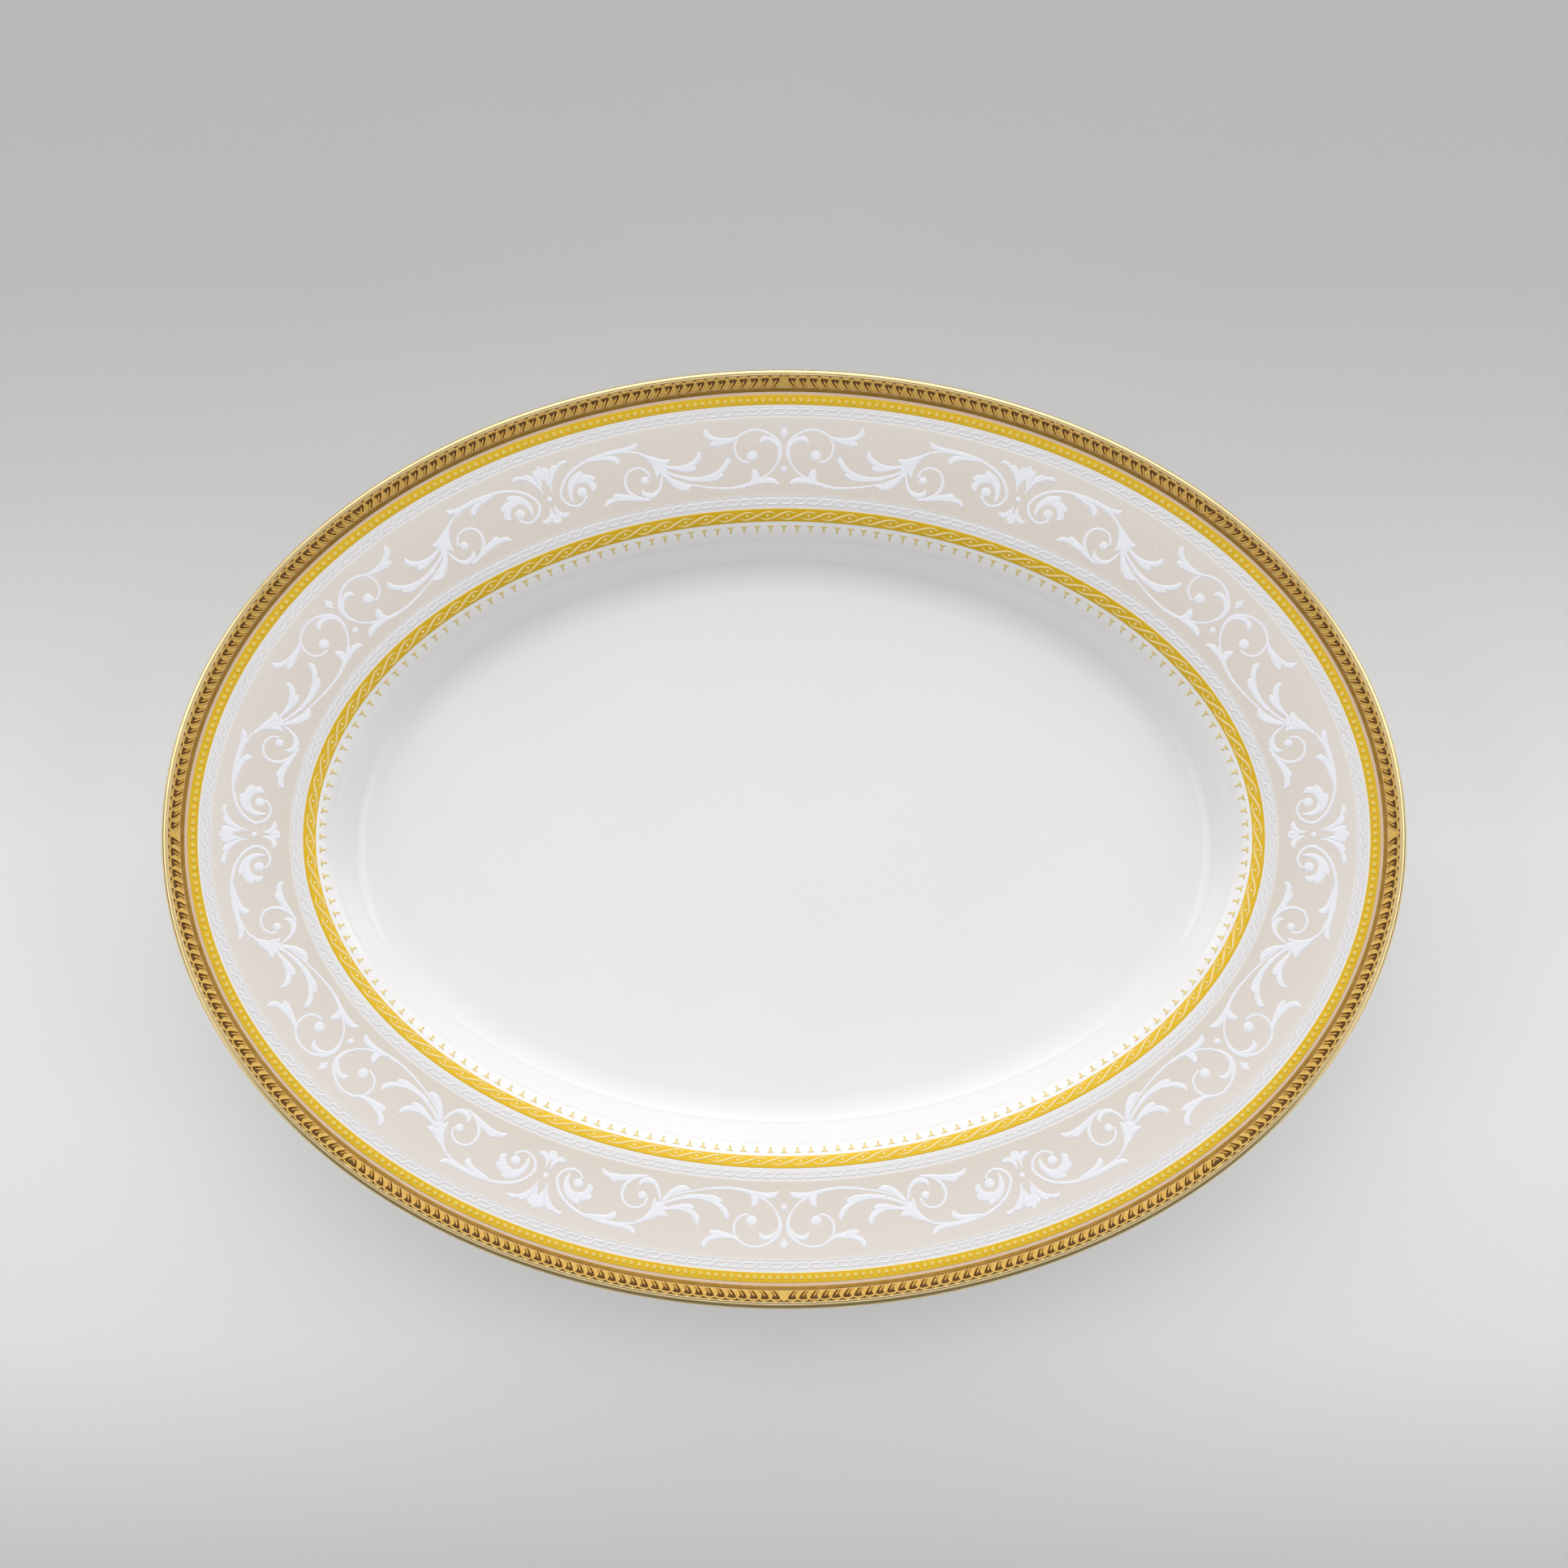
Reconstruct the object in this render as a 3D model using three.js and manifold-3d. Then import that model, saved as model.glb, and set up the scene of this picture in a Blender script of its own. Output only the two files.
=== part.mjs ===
// Oval serving platter in bone china, lying flat on its foot ring.
// Millimetres, +Z up, origin on the table under the centre, +X along the long axis.
//
// The fired body is one piece of china. Every decoration that is put on it and
// fired separately is a thin solid of its own, standing a hair above the body:
// gilding, enamel bands, the tinted ground and the raised white ornament.
//
// Every round stretch of the platter runs parallel to the oval edge, so a place
// on it is given by an angle round the oval and by "depth", the distance inward
// from the body's edge seen from above.

import * as THREE from "three";
import Module from "manifold-3d";
import { mergeVertices } from "three/addons/utils/BufferGeometryUtils.js";

const wasm = await Module();
wasm.setup();

// Driving dimensions of the whole platter
const LENGTH = 356;
const WIDTH = 271;
const HEIGHT = 28.5;

// Layers on the body's face, as heights above it
const GAP = 0.05;
const GILDING = 0.3;
const GROUND = 0.2;
const ENAMEL_BASE = 0.28;
const ENAMEL_TOP = 0.6;

// Cross-section of the body: depths inward from its edge, radii and slopes
const EDGE_RADIUS = 1.9;
const VERGE_DEPTH = 6.2;
const VERGE_SLOPE = 13;
const RIM_SLOPE = 6.5;
const SHOULDER_DEPTH = 36.5;
const SHOULDER_RADIUS = 18.3;
const SHOULDER_STOPS = [39.3, 43.5, 46.5];
const WALL_SLOPE = 51;
const WALL_RUN = 3.9;
const FILLET_RADIUS = 12;
const FILLET_SLOPES = [41, 31, 21, 10, 0];
const RIM_THICKNESS = 3.9;
const FLOOR_THICKNESS = 4.6;
const FOOT_DEPTH = 58.5;
const FOOT_WIDTH = 3;
const FOOT_TAPER = 0.7;
const FOOT_ROOT_RISE = 1.1;
const LIP_END_ANGLE = -60;

// Bands on the face, each from one depth to another
const BANDS = {
  rim_gold_frieze: { from: 1.95, to: 5.0, top: GILDING, finish: "etched_gold" },
  rim_gold_line: { from: 5.1, to: 6.1, top: GILDING, finish: "polished_gold" },
  bead_band_gold: { from: 7.1, to: 10.0, top: 0.25, finish: "yellow_gold" },
  outer_chain_relief: { from: 10.7, to: 13.1, top: 0.4, finish: "white_enamel" },
  taupe_ground: { from: 13.2, to: 36.4, top: GROUND, finish: "taupe_ground" },
  inner_chain_relief: { from: 36.6, to: 39.0, top: 0.4, finish: "white_enamel" },
  guilloche_band_gold: { from: 39.8, to: 43.3, top: GILDING, finish: "yellow_gold" },
  drop_fringe_gold: { from: 43.7, to: 46.3, top: 0.25, finish: "yellow_gold" },
};

// Ornament on the tinted ground: junctions and palmettes alternate round the oval
const HALF_UNITS = 12;
const ORNAMENT_DEPTH = 24.1;
const STEM_HALF_WIDTH = 0.42;
const LEAF_STEPS = 2;

const SEGMENTS = 60;
const BASE_RADIUS = 100;
const NOSE_STEP = 30;
const WALK_SAMPLES = 1440;
const MERGE_TOLERANCE = 1e-4;

const bodyHalfLength = LENGTH / 2 - GILDING;
const bodyHalfWidth = WIDTH / 2 - GILDING;
const crestHeight = HEIGHT - GILDING;

const FINISHES = {
  bone_china: { color: 0xf1efec, roughness: 0.12, metalness: 0 },
  polished_gold: { color: 0xd9b45c, roughness: 0.14, metalness: 1 },
  etched_gold: { color: 0xb98f45, roughness: 0.32, metalness: 1 },
  yellow_gold: { color: 0xdcb73f, roughness: 0.42, metalness: 0.55 },
  white_enamel: { color: 0xeceaf0, roughness: 0.3, metalness: 0 },
  taupe_ground: { color: 0xdcd2c8, roughness: 0.28, metalness: 0 },
};

// ---- Cross-section -------------------------------------------------------

const radians = THREE.MathUtils.degToRad;

// Points on an arc whose downward slope turns from one angle to others: growing
// slopes make a shoulder, falling ones a hollow. The start isn't repeated.
function turnSlope(start, fromSlope, slopes, radius) {
  const side = slopes.at(-1) > fromSlope ? radius : -radius;
  return slopes.map((slope) => {
    const run = Math.sin(radians(slope)) - Math.sin(radians(fromSlope));
    const rise = Math.cos(radians(slope)) - Math.cos(radians(fromSlope));
    return new THREE.Vector2(start.x + side * run, start.y + side * rise);
  });
}

function descend(start, run, slope) {
  return new THREE.Vector2(start.x + run, start.y - run * Math.tan(radians(slope)));
}

// The upper face of the body, from the crest of the edge to the flat floor
function makeFace() {
  const crest = new THREE.Vector2(EDGE_RADIUS, crestHeight);
  const vergeEnd = descend(crest, VERGE_DEPTH - EDGE_RADIUS, VERGE_SLOPE);
  const rimEnd = descend(vergeEnd, SHOULDER_DEPTH - VERGE_DEPTH, RIM_SLOPE);
  const shoulderSlopes = SHOULDER_STOPS.map((depth) => {
    const sine = Math.sin(radians(RIM_SLOPE)) + (depth - SHOULDER_DEPTH) / SHOULDER_RADIUS;
    return THREE.MathUtils.radToDeg(Math.asin(sine));
  });
  const shoulder = turnSlope(rimEnd, RIM_SLOPE, [...shoulderSlopes, WALL_SLOPE], SHOULDER_RADIUS);
  const wallEnd = descend(shoulder.at(-1), WALL_RUN, WALL_SLOPE);
  const fillet = turnSlope(wallEnd, WALL_SLOPE, FILLET_SLOPES, FILLET_RADIUS);
  return [crest, vergeEnd, rimEnd, ...shoulder, wallEnd, ...fillet];
}

const face = makeFace();
const floorEdge = face.at(-1);

// Upward normal of the face at one of its points, from the stretches beside it
function faceNormal(index) {
  const before = face[Math.max(index - 1, 0)];
  const after = face[Math.min(index + 1, face.length - 1)];
  const along = after.clone().sub(before).normalize();
  return new THREE.Vector2(-along.y, along.x);
}

// A point of the face and its normal at any depth
function faceAt(depth) {
  const next = face.findIndex((point, i) => i > 0 && point.x >= depth);
  const start = face[next - 1];
  const end = face[next];
  const share = (depth - start.x) / (end.x - start.x);
  const normal = faceNormal(next - 1).lerp(faceNormal(next), share).normalize();
  return { point: start.clone().lerp(end, share), normal };
}

// The edge's round nose, from one angle down to another, at a distance outside
// the body's own surface
function nosePoints(fromAngle, toAngle, outside) {
  const points = [];
  for (let angle = fromAngle; angle >= toAngle; angle -= NOSE_STEP) {
    const radius = EDGE_RADIUS + outside;
    const depth = EDGE_RADIUS - radius * Math.cos(radians(angle));
    const height = crestHeight - EDGE_RADIUS + radius * Math.sin(radians(angle));
    points.push(new THREE.Vector2(depth, height));
  }
  return points;
}

// The underside follows the face at the body's thickness, as far as the foot
function undersidePoints() {
  const points = [];
  for (let i = 1; i < face.length; i += 1) {
    const share = face[i].x / floorEdge.x;
    const thickness = RIM_THICKNESS + (FLOOR_THICKNESS - RIM_THICKNESS) * share;
    const point = face[i].clone().addScaledVector(faceNormal(i), -thickness);
    if (point.x < FOOT_DEPTH - FOOT_TAPER) points.push(point);
  }
  return points;
}

function footPoints() {
  const floorBottom = floorEdge.y - FLOOR_THICKNESS;
  return [
    new THREE.Vector2(FOOT_DEPTH, floorBottom + FOOT_ROOT_RISE),
    new THREE.Vector2(FOOT_DEPTH + FOOT_TAPER, 0),
    new THREE.Vector2(FOOT_DEPTH + FOOT_TAPER + FOOT_WIDTH, 0),
    new THREE.Vector2(FOOT_DEPTH + FOOT_TAPER * 2 + FOOT_WIDTH, floorBottom),
  ];
}

// ---- Plan ----------------------------------------------------------------

// A place on the platter seen from above. Beyond the floor's edge the rings
// shrink to the centre instead of staying parallel.
function planPoint(angle, depth) {
  const parallel = Math.min(depth, floorEdge.x);
  const normal = new THREE.Vector2(Math.cos(angle) / bodyHalfLength, Math.sin(angle) / bodyHalfWidth);
  const edge = new THREE.Vector2(Math.cos(angle) * bodyHalfLength, Math.sin(angle) * bodyHalfWidth);
  const shrink = Math.min(1, (BASE_RADIUS - depth) / (BASE_RADIUS - floorEdge.x));
  return edge.addScaledVector(normal.normalize(), -parallel).multiplyScalar(shrink);
}

// Lathes a section round a circle and then moves each point to its place on the
// oval. The section's (depth, height) points run inward along its lower side.
function ovalLathe(section) {
  const profile = section.map((point) => new THREE.Vector2(BASE_RADIUS - point.x, point.y));
  profile.reverse();
  const geometry = new THREE.LatheGeometry(profile, SEGMENTS);
  const position = geometry.attributes.position;
  for (let i = 0; i < position.count; i += 1) {
    const x = position.getX(i);
    const y = position.getZ(i);
    const plan = planPoint(Math.atan2(x, y), BASE_RADIUS - Math.hypot(x, y));
    position.setXYZ(i, plan.x, plan.y, position.getY(i));
  }
  return geometry;
}

// Angle round the oval for a distance walked along the ornament's middle line
function makeWalk() {
  const distances = [0];
  let last = planPoint(0, ORNAMENT_DEPTH);
  for (let i = 1; i <= WALK_SAMPLES; i += 1) {
    const point = planPoint((i / WALK_SAMPLES) * 2 * Math.PI, ORNAMENT_DEPTH);
    distances.push(distances.at(-1) + point.distanceTo(last));
    last = point;
  }
  return distances;
}

const walk = makeWalk();
const halfUnit = walk.at(-1) / HALF_UNITS;

function angleAt(distance) {
  const wrapped = THREE.MathUtils.euclideanModulo(distance, walk.at(-1));
  const next = Math.max(1, walk.findIndex((value) => value >= wrapped));
  const share = (wrapped - walk[next - 1]) / (walk[next] - walk[next - 1]);
  return ((next - 1 + share) / WALK_SAMPLES) * 2 * Math.PI;
}

// ---- Flat ornament, bent onto the rim -------------------------------------

// A stroke is a curved spine with pointed ends, given by points (along, depth)
// in millimetres. "half" gives the half-width from the share of its length.
function strokeShape(spine, steps, half) {
  const curve = new THREE.SplineCurve(spine.map(([x, y]) => new THREE.Vector2(x, y)));
  const left = [];
  const right = [];
  for (let i = 1; i < steps; i += 1) {
    const t = i / steps;
    const tangent = curve.getTangent(t);
    const across = new THREE.Vector2(-tangent.y, tangent.x).multiplyScalar(half(t));
    left.push(curve.getPoint(t).add(across));
    right.push(curve.getPoint(t).sub(across));
  }
  return new THREE.Shape([curve.getPoint(0), ...left, curve.getPoint(1), ...right.reverse()]);
}

function stem(spine, steps) {
  return strokeShape(spine, steps, () => STEM_HALF_WIDTH);
}

function leaf(spine, halfWidth) {
  return strokeShape(spine, LEAF_STEPS, (t) => halfWidth * Math.sin(Math.PI * t));
}

function ball(x, y, radius, corners) {
  const shape = new THREE.Shape();
  for (let i = 0; i < corners; i += 1) {
    const angle = (i / corners) * 2 * Math.PI;
    const corner = [x + radius * Math.cos(angle), y + radius * Math.sin(angle)];
    if (i === 0) shape.moveTo(...corner);
    else shape.lineTo(...corner);
  }
  return shape;
}

// Half of the scroll between a junction, at along = 0, and a palmette: the long
// stem and its curl beside the junction, the low curl behind the leaf sheath, and
// the high stem with its curl beside the palmette. Each curl ends in a ball.
function scrollShapes() {
  const longStem = [[37, 25], [30, 30.6], [20, 33.2], [11, 32.9], [4.5, 29.9], [1.2, 24.5],
    [2.4, 20], [8.7, 17.2], [12.8, 19], [14.1, 23], [11.5, 26.3], [9, 24.6]];
  const lowStem = [[36, 25], [36.5, 30.4], [40.5, 33.3], [46, 31], [47, 27], [43.3, 24.1], [41, 28]];
  const highStem = [[35.5, 25], [40, 20.7], [47.5, 18.4], [55, 18.4], [62.5, 21.2], [66.2, 26.4],
    [62, 30.2], [60, 27]];
  return [
    stem(longStem, 13),
    stem(lowStem, 8),
    stem(highStem, 9),
    ball(9.2, 24.7, 1.55, 6),
    ball(41.2, 28, 1.3, 6),
    ball(60, 26.9, 1.45, 6),
    leaf([[10.4, 18.6], [18, 20], [21.9, 15.6]], 1.2),
    leaf([[1.1, 23], [4.5, 19.8], [6.9, 21.4]], 0.8),
    leaf([[13, 33.4], [6, 32], [1.6, 33.1]], 0.9),
    leaf([[11, 33.6], [8.6, 31.2], [9.2, 28.5]], 1),
    leaf([[38, 24], [29, 26.5], [24.6, 21.8]], 1.2),
    leaf([[37, 25], [24, 30.1], [16.3, 24.2]], 1.3),
    leaf([[36.5, 25], [33.2, 30.6], [27.6, 31.8]], 1.3),
    leaf([[34, 28], [36.6, 24.4], [41.5, 20.2]], 2),
    leaf([[40, 33.9], [48, 31.6], [54.7, 32.9]], 1.1),
    leaf([[57.5, 19.2], [49, 18.2], [41, 16.7]], 0.9),
    leaf([[55.5, 18.4], [50, 19.5], [47.9, 22.1]], 0.8),
    leaf([[65.5, 28.8], [61.5, 22.6], [55.6, 25]], 1.7),
  ];
}

// The palmette, mirrored about along = 0: a fan outward, a fan inward, a bead
function palmetteShapes() {
  const shapes = [ball(0, 26, 0.85, 8)];
  shapes.push(leaf([[0, 26.5], [0, 20], [0, 15.8]], 2.1));
  shapes.push(leaf([[0, 25.5], [0, 31], [0, 33.5]], 1.2));
  for (const side of [-1, 1]) {
    shapes.push(leaf([[0, 25.4], [side * 3, 19.5], [side * 8, 17.4]], 1.2));
    shapes.push(leaf([[0, 27.2], [side * 1.7, 31], [side * 4.4, 31.5]], 0.9));
  }
  return shapes;
}

function diamondShape() {
  const shape = new THREE.Shape();
  shape.moveTo(1.2, 18.1);
  shape.quadraticCurveTo(0.4, 18.6, 0, 19.9);
  shape.quadraticCurveTo(-0.4, 18.6, -1.2, 18.1);
  shape.quadraticCurveTo(-0.4, 17.6, 0, 16.3);
  shape.quadraticCurveTo(0.4, 17.6, 1.2, 18.1);
  return shape;
}

function extrudeShape(shape) {
  const settings = { depth: ENAMEL_TOP - ENAMEL_BASE, bevelEnabled: false, curveSegments: 2 };
  return new THREE.ExtrudeGeometry(shape, settings);
}

function toManifold(geometry) {
  geometry.deleteAttribute("normal");
  geometry.deleteAttribute("uv");
  const merged = mergeVertices(geometry, MERGE_TOLERANCE);
  const vertProperties = new Float32Array(merged.attributes.position.array);
  const triVerts = new Uint32Array(merged.index.array);
  return new wasm.Manifold(new wasm.Mesh({ numProp: 3, vertProperties, triVerts }));
}

// Joins flat shapes to one solid. A mirrored copy turns every outline round.
function joinShapes(shapes, mirrored) {
  const pieces = shapes.map((shape) => {
    const points = shape.getPoints(2);
    const turned = mirrored ? points.map((p) => new THREE.Vector2(-p.x, p.y)).reverse() : points;
    return toManifold(extrudeShape(new THREE.Shape(turned)));
  });
  return wasm.Manifold.union(pieces).getMesh();
}

// Bends a flat solid onto the rim: x runs along the ornament's middle line from
// "along", y is the depth and z the height above the ornament's base.
function bendOntoRim(mesh, along) {
  const position = new Float32Array(mesh.vertProperties.length);
  for (let i = 0; i < position.length; i += 3) {
    const [x, y, z] = mesh.vertProperties.slice(i, i + 3);
    const plan = planPoint(angleAt(along + x), y);
    position.set([plan.x, plan.y, faceAt(y).point.y + ENAMEL_BASE + z], i);
  }
  const geometry = new THREE.BufferGeometry();
  geometry.setAttribute("position", new THREE.BufferAttribute(position, 3));
  geometry.setIndex([...mesh.triVerts]);
  return geometry;
}

// ---- Sub-parts -----------------------------------------------------------

function namedMesh(name, geometry, finish) {
  const mesh = new THREE.Mesh(geometry, new THREE.MeshStandardMaterial(FINISHES[finish]));
  mesh.name = name;
  return mesh;
}

function chinaBody() {
  const floorCentre = new THREE.Vector2(BASE_RADIUS, floorEdge.y);
  const undersideCentre = new THREE.Vector2(BASE_RADIUS, floorEdge.y - FLOOR_THICKNESS);
  const section = [
    floorCentre,
    ...face.slice(1).reverse(),
    ...nosePoints(90, -90, 0),
    ...undersidePoints(),
    ...footPoints(),
    undersideCentre,
  ];
  return namedMesh("china_body", ovalLathe(section), "bone_china");
}

// The gilded edge wraps the nose from below the rim to just past the crest
function goldLip() {
  const outer = nosePoints(90, LIP_END_ANGLE, GILDING);
  const inner = nosePoints(90, LIP_END_ANGLE, GAP).reverse();
  return namedMesh("rim_gold_lip", ovalLathe([...outer, ...inner, outer[0]]), "polished_gold");
}

function band(name) {
  const { from, to, top, finish } = BANDS[name];
  const inside = face.filter((point) => point.x > from + GAP && point.x < to - GAP);
  const depths = [from, ...inside.map((point) => point.x), to];
  const raised = (height) => depths.map((depth) => {
    const { point, normal } = faceAt(depth);
    return point.addScaledVector(normal, height);
  });
  const section = [...raised(top).reverse(), ...raised(GAP)];
  return namedMesh(name, ovalLathe([...section, section[0]]), finish);
}

function scroll(index) {
  const towardsPalmette = index % 2 === 1;
  const mesh = joinShapes(scrollShapes(), !towardsPalmette);
  const junction = (towardsPalmette ? index : index + 1) * halfUnit;
  return namedMesh(`scroll_${index + 1}`, bendOntoRim(mesh, junction), "white_enamel");
}

function palmette(index) {
  const geometry = bendOntoRim(joinShapes(palmetteShapes(), false), 2 * index * halfUnit);
  return namedMesh(`palmette_${index + 1}`, geometry, "white_enamel");
}

function junctionDiamond(index) {
  const geometry = bendOntoRim(joinShapes([diamondShape()], false), (2 * index + 1) * halfUnit);
  return namedMesh(`junction_diamond_${index + 1}`, geometry, "white_enamel");
}

function junctionDot(index) {
  const dot = ball(0, 28.6, 0.95, 8);
  const geometry = bendOntoRim(joinShapes([dot], false), (2 * index + 1) * halfUnit);
  return namedMesh(`junction_dot_${index + 1}`, geometry, "white_enamel");
}

function platter() {
  const group = new THREE.Group();
  group.add(chinaBody(), goldLip());
  for (const name of Object.keys(BANDS)) group.add(band(name));
  for (let i = 0; i < HALF_UNITS; i += 1) group.add(scroll(i));
  for (let i = 0; i < HALF_UNITS / 2; i += 1) {
    group.add(palmette(i), junctionDiamond(i), junctionDot(i));
  }
  return group;
}

export default platter();
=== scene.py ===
"""Fine visual model of an oval bone china serving platter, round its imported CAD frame.

Lengths are in millimetres until they reach a mesh. A place on the platter's face is
given as (along, depth, height): how far it lies along its band, how deep it lies
inward from the body's edge seen from above, and how high it stands above the face.
"""
import math

import bmesh
import bpy
import numpy as np
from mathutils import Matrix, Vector


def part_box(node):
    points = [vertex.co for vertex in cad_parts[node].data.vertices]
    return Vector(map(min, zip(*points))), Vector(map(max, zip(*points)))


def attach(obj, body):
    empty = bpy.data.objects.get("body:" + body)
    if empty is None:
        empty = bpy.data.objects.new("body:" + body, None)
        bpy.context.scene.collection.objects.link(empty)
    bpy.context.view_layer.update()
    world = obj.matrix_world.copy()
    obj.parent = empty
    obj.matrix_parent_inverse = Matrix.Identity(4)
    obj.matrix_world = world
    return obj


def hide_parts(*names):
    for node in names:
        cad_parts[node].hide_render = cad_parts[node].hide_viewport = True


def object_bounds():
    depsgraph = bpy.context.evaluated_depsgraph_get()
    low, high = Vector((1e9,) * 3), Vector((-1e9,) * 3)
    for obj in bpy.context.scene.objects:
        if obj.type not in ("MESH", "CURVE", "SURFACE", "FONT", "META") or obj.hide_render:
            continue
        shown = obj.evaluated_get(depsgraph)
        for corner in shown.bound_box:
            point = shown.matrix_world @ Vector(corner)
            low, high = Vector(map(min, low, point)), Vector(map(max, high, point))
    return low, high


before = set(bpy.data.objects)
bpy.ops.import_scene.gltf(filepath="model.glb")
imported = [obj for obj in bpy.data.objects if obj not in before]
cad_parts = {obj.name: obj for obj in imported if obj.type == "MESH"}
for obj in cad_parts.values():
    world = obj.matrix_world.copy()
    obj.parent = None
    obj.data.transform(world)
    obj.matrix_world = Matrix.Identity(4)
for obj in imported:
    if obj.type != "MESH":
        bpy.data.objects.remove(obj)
cad_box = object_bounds()

MM = 0.001
body_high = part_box("china_body")[1]
HALF_LENGTH = body_high.x / MM
HALF_WIDTH = body_high.y / MM
CREST = body_high.z / MM
GILDING = (cad_box[1].x - body_high.x) / MM

# Cross-section of the body, as in the CAD part
EDGE_RADIUS = 1.9
EDGE_TOP = 1.2
EDGE_BOTTOM = 2.6
VERGE_DEPTH = 6.2
VERGE_SLOPE = 13
RIM_SLOPE = 6.5
SHOULDER_DEPTH = 36.5
SHOULDER_RADIUS = 18.3
WALL_SLOPE = 51
WALL_RUN = 3.9
FILLET_RADIUS = 12
RIM_THICKNESS = 3.9
FLOOR_THICKNESS = 4.6
FOOT_DEPTH = 58.5
FOOT_WIDTH = 3
FOOT_TAPER = 0.7
FOOT_ROUND = 0.5
# Depth given to the floor's middle, where the rings shrink to a point
CENTRE_DEPTH = 100

# Decoration: bands by depth, and how often their patterns repeat round the platter
FRIEZE_BAND = (1.75, 5.0)
LINE_BAND = (5.05, 6.25)
BEAD_BAND = (7.1, 10.0)
BEAD_DEPTH = 8.62
OUTER_CHAIN = 12.0
GROUND_BAND = (13.2, 36.4)
INNER_CHAIN = 37.8
PLAIT_BAND = (39.8, 43.35)
PLAIT_MIDDLE = 41.75
FRINGE_DEPTH = 43.6
BEADS = 425
OUTER_LINKS = 236
INNER_LINKS = 194
PLAIT_EYES = 122
DROPS = 184
LEAVES_BY_LONG_SIDE = 42
LEAVES_BY_END = 36
ORNAMENT_DEPTH = 24.1
HALF_UNITS = 12

# How far every layer's foot is sunk below the face
SINK = 0.05

# Where the lip's gilding ends under the edge, in degrees from level
LIP_END_ANGLE = -60

# The enamel's height, and how far leaves and stems swell past their drawn outlines
ENAMEL_CROWN = 0.16
DOT_CROWN = 1.3 * ENAMEL_CROWN
BALL_CROWN = 1.4 * ENAMEL_CROWN
LEAF_SWELL = 0.22
STEM_WEIGHT = 1.35

# Fineness of the meshes: round the oval, across the floor and along a band
RINGS = 480
FLOOR_STEPS = 14
WALK_SAMPLES = 5760


# ---- Cross-section of the body ---------------------------------------------

def straight(start, run, slope, steps):
    """Points down a straight stretch of the face; the start isn't repeated."""
    runs = np.linspace(0, run, steps + 1)[1:]
    fall = math.tan(math.radians(slope))
    return [(start[0] + r, start[1] - r * fall) for r in runs]


def arc(start, from_slope, to_slope, radius, steps):
    """Points on an arc along which the face's downward slope turns."""
    side = math.copysign(radius, to_slope - from_slope)
    first = math.radians(from_slope)
    slopes = np.radians(np.linspace(from_slope, to_slope, steps + 1)[1:])
    depths = start[0] + side * (np.sin(slopes) - math.sin(first))
    heights = start[1] + side * (np.cos(slopes) - math.cos(first))
    return list(zip(depths, heights))


def face_points():
    """The upper face of the body, from the crest of its edge to the flat floor."""
    points = [(EDGE_RADIUS, CREST)]
    points += straight(points[-1], VERGE_DEPTH - EDGE_RADIUS, VERGE_SLOPE, 10)
    points += straight(points[-1], SHOULDER_DEPTH - VERGE_DEPTH, RIM_SLOPE, 24)
    points += arc(points[-1], RIM_SLOPE, WALL_SLOPE, SHOULDER_RADIUS, 16)
    points += straight(points[-1], WALL_RUN, WALL_SLOPE, 4)
    points += arc(points[-1], WALL_SLOPE, 0, FILLET_RADIUS, 20)
    return np.array(points)


FACE = face_points()
FACE_SLOPE = -np.arctan(np.gradient(FACE[:, 1], FACE[:, 0]))
FLOOR_DEPTH, FLOOR_HEIGHT = FACE[-1]


def nose_arc(start_angle, end_angle, outside, steps):
    """Points round the body's edge or a layer on it: flatter above, deeper below."""
    angles = np.radians(np.linspace(start_angle, end_angle, steps + 1))
    reach = np.where(angles > 0, EDGE_TOP, EDGE_BOTTOM) + outside
    depths = EDGE_RADIUS - (EDGE_RADIUS + outside) * np.cos(angles)
    heights = CREST - EDGE_TOP + reach * np.sin(angles)
    return list(zip(depths, heights))


def underside_points():
    """The underside follows the face at the body's thickness, as far as the foot."""
    thickness = RIM_THICKNESS + (FLOOR_THICKNESS - RIM_THICKNESS) * FACE[:, 0] / FLOOR_DEPTH
    depths = FACE[:, 0] - np.sin(FACE_SLOPE) * thickness
    heights = FACE[:, 1] - np.cos(FACE_SLOPE) * thickness
    kept = (depths > EDGE_RADIUS + 1) & (depths < FOOT_DEPTH - 1.5 * FOOT_TAPER)
    return list(zip(depths[kept], heights[kept]))


def foot_points():
    """The foot ring: a tapered ridge with a rounded, flat-ground edge."""
    under = FLOOR_HEIGHT - FLOOR_THICKNESS
    outside = FOOT_DEPTH + FOOT_TAPER
    inside = outside + FOOT_WIDTH
    turn = np.radians(np.linspace(0, 90, 5))
    outer = [(outside + FOOT_ROUND * (1 - math.cos(a)), FOOT_ROUND * (1 - math.sin(a))) for a in turn]
    inner = [(inside - FOOT_ROUND * (1 - math.cos(a)), FOOT_ROUND * (1 - math.sin(a))) for a in turn]
    root = [(FOOT_DEPTH - 0.4, under + 1.3), (FOOT_DEPTH + 0.1, under + 0.9),
            (FOOT_DEPTH + 0.3, under + 0.3)]
    tail = [(inside + 0.3, under - 1.0), (inside + FOOT_TAPER, under - 0.3), (inside + 2, under)]
    return root + outer + inner[::-1] + tail


def body_section():
    """Closed section of the body, from the centre of the floor out and back under."""
    last = CENTRE_DEPTH - 1
    floor = [(d, FLOOR_HEIGHT) for d in np.linspace(last, FLOOR_DEPTH + 2, FLOOR_STEPS)]
    under = [(d, FLOOR_HEIGHT - FLOOR_THICKNESS) for d in np.linspace(FOOT_DEPTH + 8, last, FLOOR_STEPS)]
    nose = nose_arc(90, -90, 0, 16)[1:]
    return floor + [tuple(p) for p in FACE[::-1]] + nose + underside_points() + foot_points() + under


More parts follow.
